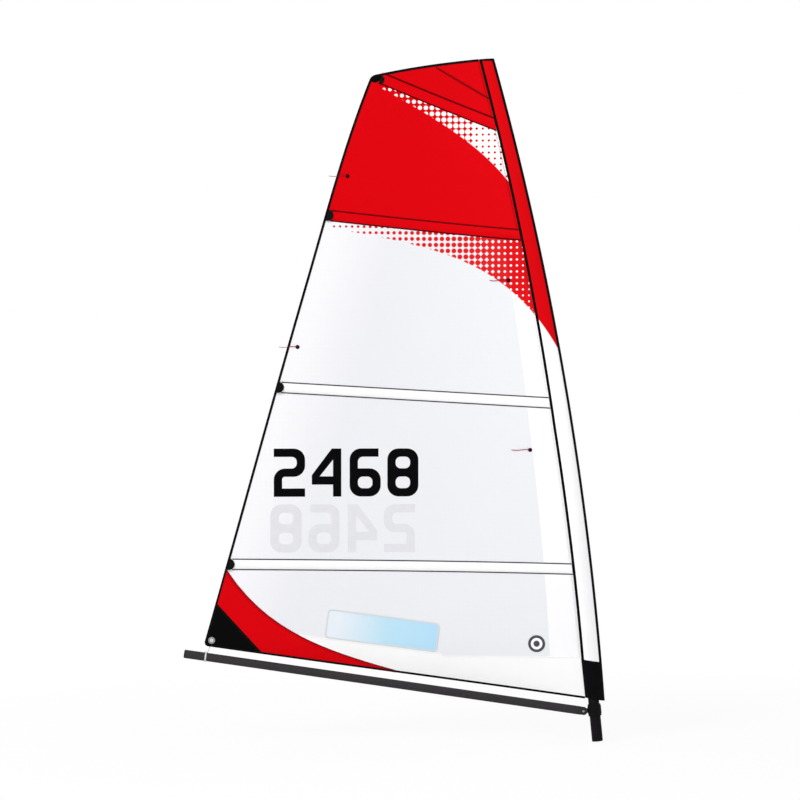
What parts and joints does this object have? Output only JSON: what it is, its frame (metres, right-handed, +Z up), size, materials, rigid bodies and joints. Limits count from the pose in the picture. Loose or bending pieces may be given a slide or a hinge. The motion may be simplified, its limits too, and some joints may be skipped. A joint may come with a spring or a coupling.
{
  "type": "dinghy rig",
  "caption": "Unstayed rig of a small dinghy: a two-part mast in a luff sleeve, a fully battened sail with a clear window, and a boom on a gooseneck.",
  "frame": {"origin": "middle of the mast heel's end face", "axes": "+X forward, away from the sail; +Y to port; +Z up, as the rig stands on a level boat"},
  "size_m": [2.1901, 0.1444, 3.5505],
  "materials": {
    "spar_black": "black anodised, satin",
    "spar_composite": "black composite tube, satin",
    "boom_grey": "dark grey anodised, satin",
    "fitting_black": "moulded, matte",
    "fork_grey": "moulded, matte",
    "steel": "polished stainless",
    "cloth_white": "white sailcloth with sewn seams",
    "cloth_red": "red sailcloth",
    "cloth_black": "black woven edging and reinforcement",
    "film": "pale laminated film",
    "window": "clear pale blue film",
    "batten": "glass fibre strip",
    "badge": "grey moulded badge",
    "yarn": "dark red yarn",
    "cord_white": "white braid"
  },
  "bodies": {
    "mast_base": {"mast_heel_plug": "fitting_black", "mast_lower_tube": "spar_black", "gooseneck_stop_lower": "fitting_black", "gooseneck_stop_upper": "fitting_black"},
    "sail_rig": {"mast_upper_tube": "spar_composite", "mast_upper_foot_plug": "fitting_black", "mast_joint_collar": "fitting_black", "mast_tip_plug": "fitting_black", "gooseneck_collar": "fitting_black", "luff_sleeve": "cloth_white", "tack_patch": "cloth_black", "head_panel": "cloth_red", "upper_panel": "cloth_red", "mid_film_panel": "film", "mid_luff_panel": "cloth_white", "lower_film_panel": "film", "lower_luff_panel": "cloth_white", "foot_film_panel": "film", "foot_luff_panel": "cloth_white", "clew_patch_outer": "cloth_red", "clew_patch_inner": "cloth_black", "tack_cloth": "cloth_white", "window_pane": "window", "leech_tape": "cloth_black", "foot_tape": "cloth_black", "head_tape": "cloth_black", "sail_button": "badge", "batten_pocket_1": "cloth_white", "batten_1": "batten", "batten_cap_1": "fitting_black", "telltale_1": "yarn", "batten_pocket_2": "cloth_white", "batten_2": "batten", "batten_cap_2": "fitting_black", "telltale_2": "yarn", "batten_pocket_3": "cloth_white", "batten_3": "batten", "batten_cap_3": "fitting_black", "telltale_3": "yarn", "batten_pocket_4": "cloth_red", "batten_4": "batten", "batten_cap_4": "fitting_black", "telltale_4": "yarn"},
    "boom": {"boom_fork": "fork_grey", "boom_tube": "boom_grey", "boom_end_cap": "fitting_black", "gooseneck_pin": "steel", "gooseneck_pin_clip": "steel", "clew_eyelet": "steel", "clew_line": "cord_white"}
  },
  "joints": [
    {"name": "sail_swing", "type": "hinge", "parent": "mast_base", "child": "sail_rig", "pos_m": [0, 0, 0], "axis": [-0.0952, 0, 0.9955], "continuous": true},
    {"name": "boom_lift", "type": "hinge", "parent": "sail_rig", "child": "boom", "pos_m": [-0.07455, 0, 0.15661], "axis": [0, 1, 0], "range_deg": [0, 6], "deforming": ["foot_film_panel", "foot_luff_panel", "tack_cloth", "clew_patch_outer", "clew_patch_inner", "window_pane", "foot_tape", "leech_tape"]}
  ]
}
